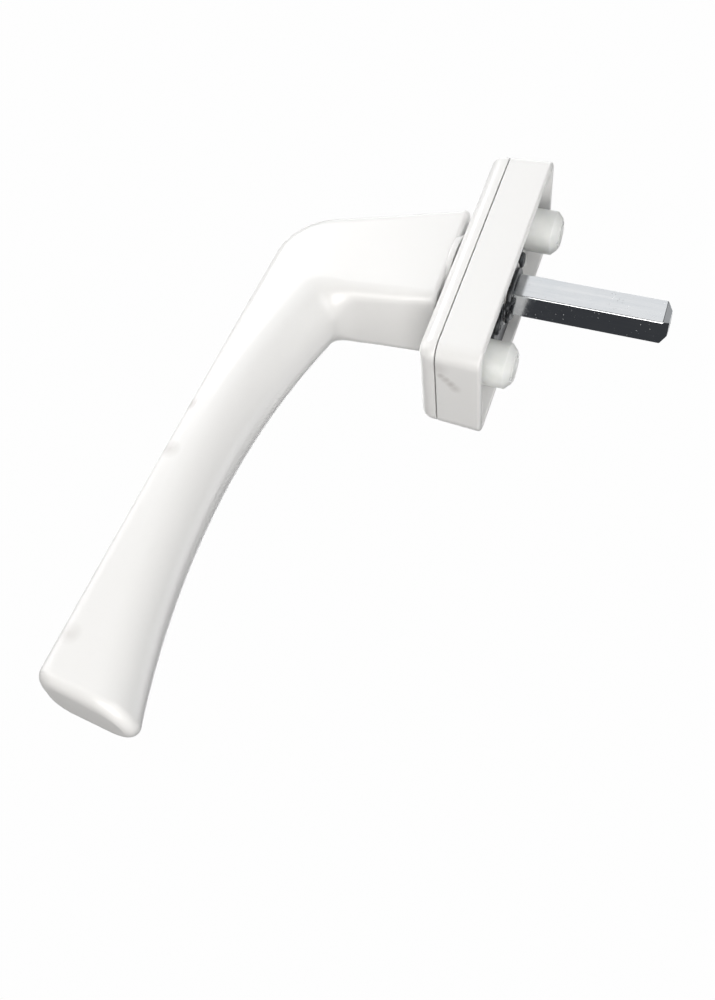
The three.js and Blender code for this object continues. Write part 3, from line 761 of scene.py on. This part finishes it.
def base_housing():
    shell = base_shell()
    boss_points = [(7.0, -7.4), (6.3, -6.4), (6.3, -3.0), (3.0, -3.0)]
    post_points = [(2.4, -7.4), (2.1, -6.8), (2.1, -3.5), (0.5, -3.5)]
    added, cuts = [], []
    for side in (1, -1):
        fixing, screw = (0, side * FIXING_Z), (0, side * PLATE_SCREW_Z)
        boss = filleted(boss_points, [0, 0.5, 0.25, 0], 5, closed=False)
        added.append(lathe("boss", boss, False, 96, fixing))
        added.append(block("rib", (24.9, 4.5, 1.2), (0, -5.15, side * FIXING_Z), 0.18))
        added.append(block("rib", (1.2, 4.5, 9), (0, -5.15, side * 27.5), 0.18))
        post = filleted(post_points, [0, 0.3, 0.15, 0], 4, closed=False)
        added.append(lathe("post", post, False, 48, screw))
        for near in (1, -1):
            added.append(block("seat", (4.2, 4.1, 3.4), (near * 7.2, -5.75, side * 13.7), 0.2))
            cuts.append(block("slot", (1.1, 4.2, 2.4), (near * SPRING_X, -4.7, side * 13.0)))
        cuts.append(cylinder("stub", 3.9, -7.5, 0, 64, fixing))
        cuts.append(cylinder("bore", 2.75, -11, -5, 64, fixing))
        cuts.append(cylinder("sink", 4.9, -11, -8.8, 64, fixing))
        cuts.append(cylinder("thread", 1.3, -6.5, -3, 32, screw))
    combine(shell, added, "UNION")
    combine(shell, cuts, "DIFFERENCE")
    piece(shell, "rose", "white_paint", "base_housing")


def collar_bush():
    profile = filleted(
        [(7.5, -11.1), (11.2, -11.1), (11.2, -10.25), (9.6, -10.25), (9.6, -7.0), (7.5, -7.0)],
        [0.2, 0.2, 0.15, 0.1, 0.3, 0.3],
        4,
    )
    piece(lathe("collar_bush_ring", profile), "rose", "bearing_plastic", "collar_bush")


def fixing_sleeve(name, side):
    """Nylon peg with a chamfered end, a raised lip round its bore and two small notches."""
    profile = filleted(
        [
            (SLEEVE_BORE, SLEEVE_FRONT),
            (SLEEVE_STUB, SLEEVE_FRONT),
            (SLEEVE_STUB, SLEEVE_SHOULDER),
            (SLEEVE_RADIUS, SLEEVE_SHOULDER),
            (SLEEVE_RADIUS, 3.4),
            (3.85, SLEEVE_FACE),
            (SLEEVE_TIP, SLEEVE_FACE),
            (SLEEVE_TIP, SLEEVE_END),
            (SLEEVE_BORE, SLEEVE_END),
        ],
        [0.1, 0.3, 0.1, 0.3, 0.35, 0.2, 0.06, 0.12, 0.12],
        6,
    )
    z = side * FIXING_Z
    sleeve = lathe(name + "_peg", profile, True, 96, (0, z))
    notches = [block("notch", (0.9, 0.8, 2.4), (0, 5.05, z + end * 3.2)) for end in (1, -1)]
    combine(sleeve, notches, "DIFFERENCE")
    piece(sleeve, "rose", "white_nylon", name)


def retaining_plate():
    reach = math.acos(PLATE_HALF_WIDTH / PLATE_RADIUS)
    outer = []
    for start, end in ((reach, math.pi - reach), (math.pi + reach, 2 * math.pi - reach)):
        outer += arc_points(PLATE_RADIUS, start, end, 40)
    holes = [circle(PLATE_HOLE)]
    holes += [circle(PLATE_SCREW_HOLE, 40, (0, side * PLATE_SCREW_Z)) for side in (1, -1)]
    obj = plate("retaining_plate_pressing", [outer, *holes], PLATE_FRONT, PLATE_BACK, 0.15, 3)
    piece(obj, "rose", "dark_steel", "retaining_plate")


def plate_screw(name, side):
    """Pan head screw with a cross recess."""
    profile = filleted(
        [
            (0.35, SCREW_TIP_Y),
            (0.6, SCREW_TIP_Y),
            (SCREW_SHANK, -5.7),
            (SCREW_SHANK, SCREW_SEAT),
            (SCREW_HEAD, SCREW_SEAT),
            (SCREW_HEAD, -1.7),
            (1.5, -1.3),
            (0.3, -1.2),
        ],
        [0, 0.1, 0.2, 0, 0.1, 0.3, 0.5, 0],
        closed=False,
    )
    z = side * PLATE_SCREW_Z
    screw = lathe(name + "_pan_head", profile, False, 64, (0, z))
    bars = ((2.1, 0.8, 0.45), (0.45, 0.8, 2.1))
    recess = [block("slot", size, (0, -1.25, z), 0.05, 2) for size in bars]
    combine(screw, recess, "DIFFERENCE")
    piece(screw, "rose", "dark_steel", name)


def detent_spring(name, side):
    x = side * SPRING_X
    left, right = x - SPRING_HALF_THICKNESS, x + SPRING_HALF_THICKNESS
    z = SPRING_HALF_LENGTH
    outline = filleted([(left, -z), (right, -z), (right, z), (left, z)], 0.2, 4)
    piece(plate(name + "_leaf", [outline], -6.5, -3.7, 0.08), "rose", "spring_steel", name)


# ---- spindle and the pieces on it -------------------------------------------


def spindle():
    """Square bar with eased edges, a chamfered end, the circlip's groove and the pin's hole."""

    def square(inset, edge, y):
        return at_depth(rounded_rect(BAR_HALF - inset, BAR_HALF - inset, edge, edge, 5, 3), y)

    rings = [square(0.5, 0.2, BAR_START), square(0.06, 0.25, -33.55)]
    rings.append(square(0, BAR_EDGE, BAR_SQUARE_FROM))
    for u in fractions(BAR_RINGS):
        rings.append(square(0, BAR_EDGE, lerp(BAR_SQUARE_FROM, BAR_SQUARE_TO, u)))
    rings += [square(0.03, BAR_EDGE, 33.95), square(0.12, 0.3, 34.12)]
    rings += [square(1.25, 0.4, 35.25), square(1.36, 0.4, 35.35), square(1.5, 0.4, BAR_END)]
    bar = skin("spindle_bar", rings)
    groove = lathe("groove", [(4.35, -1.25), (6, -1.25), (6, -0.35), (4.35, -0.35)])
    combine(bar, [groove, pin_hole(6)], "DIFFERENCE")
    piece(bar, "lever", "zinc_plate", "spindle")


def spindle_pin():
    """Rolled spring pin with a slot along one side."""
    gap = 0.35
    outer = arc_points(PIN_RADIUS, gap, 2 * math.pi - gap, 40)
    inner = arc_points(PIN_INNER, 2 * math.pi - gap, gap, 40)
    pin = plate("spindle_pin_rolled", [outer + inner], -PIN_HALF_LENGTH, PIN_HALF_LENGTH, 0.08)
    place = Matrix.Translation((0, PIN_Y * MM, 0))
    pin.data.transform(place @ Matrix.Rotation(-math.pi / 2, 4, "Z"))
    piece(pin, "lever", "spring_steel", "spindle_pin")


def detent_cam():
    reach = math.acos(CAM_HALF / CAM_RADIUS)
    outer = []
    for k in range(4):
        start, end = k * math.pi / 2 + reach, (k + 1) * math.pi / 2 - reach
        outer += arc_points(CAM_RADIUS, start, end, 10)
    h = CAM_HOLE_HALF
    hole = filleted([(-h, -h), (h, -h), (h, h), (-h, h)], 0.3, 4)
    cam = plate("detent_cam_block", [outer, hole], -6.3, -3.9, 0.15, 3)
    piece(cam, "lever", "dark_steel", "detent_cam")


def wave_washer():
    profile = filleted([(5.3, -1.59), (7.2, -1.59), (7.2, -1.36), (5.3, -1.36)], 0.06, 3)
    rings = []
    for a in angles(0, 2 * math.pi, 144)[:-1]:
        lift = 0.1 * math.cos(3 * a)
        rings.append([Vector((r * math.cos(a), y + lift, r * math.sin(a))) for r, y in profile])
    washer = skin("wave_washer_ring", rings, loop=True)
    piece(washer, "lever", "spring_steel", "wave_washer")


def spindle_circlip():
    """Retaining ring with two drilled ears either side of its gap."""
    outer_gap = math.asin(3.0 / CLIP_OUTER)
    inner_gap = math.asin(1.1 / CLIP_INNER)
    down, turn = -math.pi / 2, 2 * math.pi
    outer = arc_points(CLIP_OUTER, down + outer_gap, down + turn - outer_gap, 90)
    ear = arc_points(EAR_RADIUS, math.pi + 0.35, turn - 0.75, 12, (-EAR_X, EAR_Z))
    left = ear + [Vector((-1.1, -6.6)), Vector((-1.1, -4.35))]
    inner = arc_points(CLIP_INNER, down - inner_gap, down - turn + inner_gap, 90)
    right = [Vector((-p.x, p.y)) for p in reversed(left)]
    holes = [circle(EAR_HOLE, 28, (side * EAR_X, EAR_Z)) for side in (1, -1)]
    outlines = [outer + left + inner + right, *holes]
    obj = plate("spindle_circlip_ring", outlines, -1.15, -0.45, 0.08)
    piece(obj, "lever", "dark_steel", "spindle_circlip")


lever_handle()
cover_plate()
base_housing()
collar_bush()
fixing_sleeve("upper_fixing_sleeve", 1)
fixing_sleeve("lower_fixing_sleeve", -1)
retaining_plate()
plate_screw("plate_screw_upper", 1)
plate_screw("plate_screw_lower", -1)
detent_spring("detent_spring_near", 1)
detent_spring("detent_spring_far", -1)
spindle()
spindle_pin()
detent_cam()
wave_washer()
spindle_circlip()

# Plain rings: inner radius, outer radius, front, back and edge rounding.
for node, body, slot, sizes in (
    ("cover_guide_ring", "cover", "bearing_plastic", (9.6, 11.0, -12.8, -11.2, 0.25)),
    ("collar_washer", "lever", "bearing_plastic", (7.6, 9.3, -11.5, -11.2, 0.08)),
    ("thrust_washer", "lever", "bearing_plastic", (5.2, 6.4, -3.8, -3.5, 0.08)),
    ("clip_washer", "lever", "zinc_plate", (5.1, 7.5, -2.1, -1.75, 0.1)),
):
    piece(ring_piece(node + "_round", *sizes), body, slot, node)

# ---- stage, light and camera, in metres -------------------------------------

FLOOR_HALF, FLOOR_Z, FLOOR_GLOW = 60, -0.6, 0.56
DOME_STRENGTH = 0.12
DOME_BRIGHT_SIDE = (0.55, -0.65, 0.52)
DOME_DARK = (0.34, 0.36, 0.40, 1)
LIGHTS_AIM = (0.0, -0.015, -0.04)
# Round area lights: name, place, diameter, watts and colour. The two mirrors are what the
# spindle's near face and the chamfer at its end reflect.
LIGHTS = (
    ("key", (0.3, -0.32, 0.28), 0.22, 1.45, (1.0, 1.0, 1.0)),
    ("top", (-0.05, -0.1, 0.65), 0.5, 0.9, (1.0, 1.0, 1.0)),
    ("mirror", (0.55, -0.03, 0.51), 0.6, 0.66, (0.98, 0.99, 1.0)),
    ("end_mirror", (0.05, 0.62, 0.55), 0.6, 0.28, (0.98, 0.99, 1.0)),
    ("sash_side", (0.35, 0.45, -0.1), 0.5, 1.6, (1.0, 0.99, 0.975)),
    ("room_side", (0.1, -0.6, 0.1), 0.5, 1.35, (1.0, 0.99, 0.98)),
    ("room_side_low", (0.35, -0.4, -0.15), 0.3, 0.4, (1.0, 0.97, 0.94)),
    ("below", (0.2, 0.1, -0.55), 0.5, 3.1, (1.0, 0.98, 0.955)),
    ("far_side", (-0.7, -0.4, 0.35), 0.8, 2.6, (1.0, 1.0, 1.0)),
    ("far_back", (-0.5, 0.45, 0.5), 0.6, 1.3, (1.0, 1.0, 1.0)),
)
CAMERA_PLACE_MM = (202.7804547, 41.63655596, -183.82682495)
CAMERA_RIGHT = (-0.08463747, 0.94197442, 0.32483947)
CAMERA_UP = (0.54202294, -0.23002958, 0.80826823)
CAMERA_BACK = (0.83609068, 0.24448022, -0.49110263)
SENSOR_WIDTH, FOCAL_LENGTH = 36.0, 41.42


def area_light(name, place, size, power, colour):
    light = bpy.data.lights.new(name, "AREA")
    light.shape = "DISK"
    light.size = size
    light.energy = power
    light.color = colour
    obj = bpy.data.objects.new(name, light)
    bpy.context.scene.collection.objects.link(obj)
    obj.location = place
    obj.visible_camera = False
    obj.rotation_mode = "QUATERNION"
    obj.rotation_quaternion = (Vector(LIGHTS_AIM) - Vector(place)).to_track_quat("-Z", "Y")


def pale_floor():
    """Pale matt floor under the object. It only shows to the camera, and lights nothing."""
    corners = ((-1, -1), (1, -1), (1, 1), (-1, 1))
    points = [Vector((x * FLOOR_HALF, y * FLOOR_HALF, FLOOR_Z)) / MM for x, y in corners]
    floor = to_object("floor", points, [(0, 1, 2, 3)])
    n = Nodes("floor_matt")
    colour = n.mix(n.remap(n.noise(3, 3), 0.3, 0.7), (0.80, 0.79, 0.77), (0.84, 0.83, 0.81))
    rough = n.remap(n.noise(20, 3), 0.3, 0.7, 0.75, 0.9)
    floor.data.materials.append(n.done(colour, rough, Emission_Strength=FLOOR_GLOW))
    n.tree.links.new(colour, n.shader.inputs["Emission Color"])
    floor.visible_glossy = False
    floor.visible_diffuse = False


def white_world():
    """White to the camera, and a dim dome to every other ray, brightest towards the key light."""
    world = bpy.data.worlds.new("studio")
    bpy.context.scene.world = world
    world.use_nodes = True
    tree = world.node_tree
    tree.nodes.clear()
    output = tree.nodes.new("ShaderNodeOutputWorld")
    mix = tree.nodes.new("ShaderNodeMixShader")
    path = tree.nodes.new("ShaderNodeLightPath")
    seen = tree.nodes.new("ShaderNodeBackground")
    seen.inputs["Color"].default_value = (0.99, 0.99, 0.99, 1)
    dome = tree.nodes.new("ShaderNodeBackground")
    dome.inputs["Strength"].default_value = DOME_STRENGTH
    place = tree.nodes.new("ShaderNodeTexCoord")
    split = tree.nodes.new("ShaderNodeVectorMath")
    split.operation = "DOT_PRODUCT"
    split.inputs[1].default_value = Vector(DOME_BRIGHT_SIDE).normalized()
    ramp = tree.nodes.new("ShaderNodeValToRGB")
    ramp.color_ramp.elements[0].position = 0.25
    ramp.color_ramp.elements[0].color = DOME_DARK
    ramp.color_ramp.elements[1].position = 1.0
    ramp.color_ramp.elements[1].color = (1.0, 1.0, 1.0, 1)
    shift = tree.nodes.new("ShaderNodeMapRange")
    shift.inputs["From Min"].default_value = -1.0
    links = tree.links
    links.new(place.outputs["Generated"], split.inputs[0])
    links.new(split.outputs["Value"], shift.inputs["Value"])
    links.new(shift.outputs[0], ramp.inputs[0])
    links.new(ramp.outputs[0], dome.inputs["Color"])
    links.new(path.outputs["Is Camera Ray"], mix.inputs[0])
    links.new(dome.outputs[0], mix.inputs[1])
    links.new(seen.outputs[0], mix.inputs[2])
    links.new(mix.outputs[0], output.inputs[0])


def camera():
    """The photograph's viewpoint: low on the near side, looking up along the lever, a little rolled."""
    data = bpy.data.cameras.new("camera")
    data.sensor_width = SENSOR_WIDTH
    data.lens = FOCAL_LENGTH
    data.clip_start, data.clip_end = 0.01, 50
    obj = bpy.data.objects.new("camera", data)
    bpy.context.scene.collection.objects.link(obj)
    axes = (Vector(CAMERA_RIGHT), Vector(CAMERA_UP), Vector(CAMERA_BACK))
    turn = Matrix(axes).transposed().to_4x4()
    obj.matrix_world = Matrix.Translation(Vector(CAMERA_PLACE_MM) * MM) @ turn
    bpy.context.scene.camera = obj


pale_floor()
white_world()
camera()
for light in LIGHTS:
    area_light(*light)
bpy.context.scene.view_settings.view_transform = "Standard"
